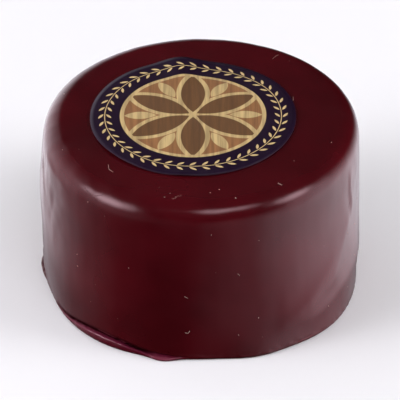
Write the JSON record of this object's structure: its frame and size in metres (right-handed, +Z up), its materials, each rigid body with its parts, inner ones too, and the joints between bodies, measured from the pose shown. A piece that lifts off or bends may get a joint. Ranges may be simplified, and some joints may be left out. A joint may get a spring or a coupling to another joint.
{
  "type": "waxed cheese",
  "caption": "Squat round of hard cheese dipped in glossy burgundy wax, with a thin wax lip along its foot and a round paper label on its crown. It stands on its flat base.",
  "frame": {"origin": "bottom centre of the whole, on the plane the cheese stands on", "axes": "+Z up through the crown, -Y towards the front seen in the picture, +X to its right"},
  "size_m": [0.0772, 0.0764, 0.0455],
  "materials": {
    "wax": "satin burgundy wax",
    "label": "semi-gloss print on paper"
  },
  "bodies": {
    "root": {"waxed_cheese": "wax", "label": "label"}
  },
  "joints": []
}
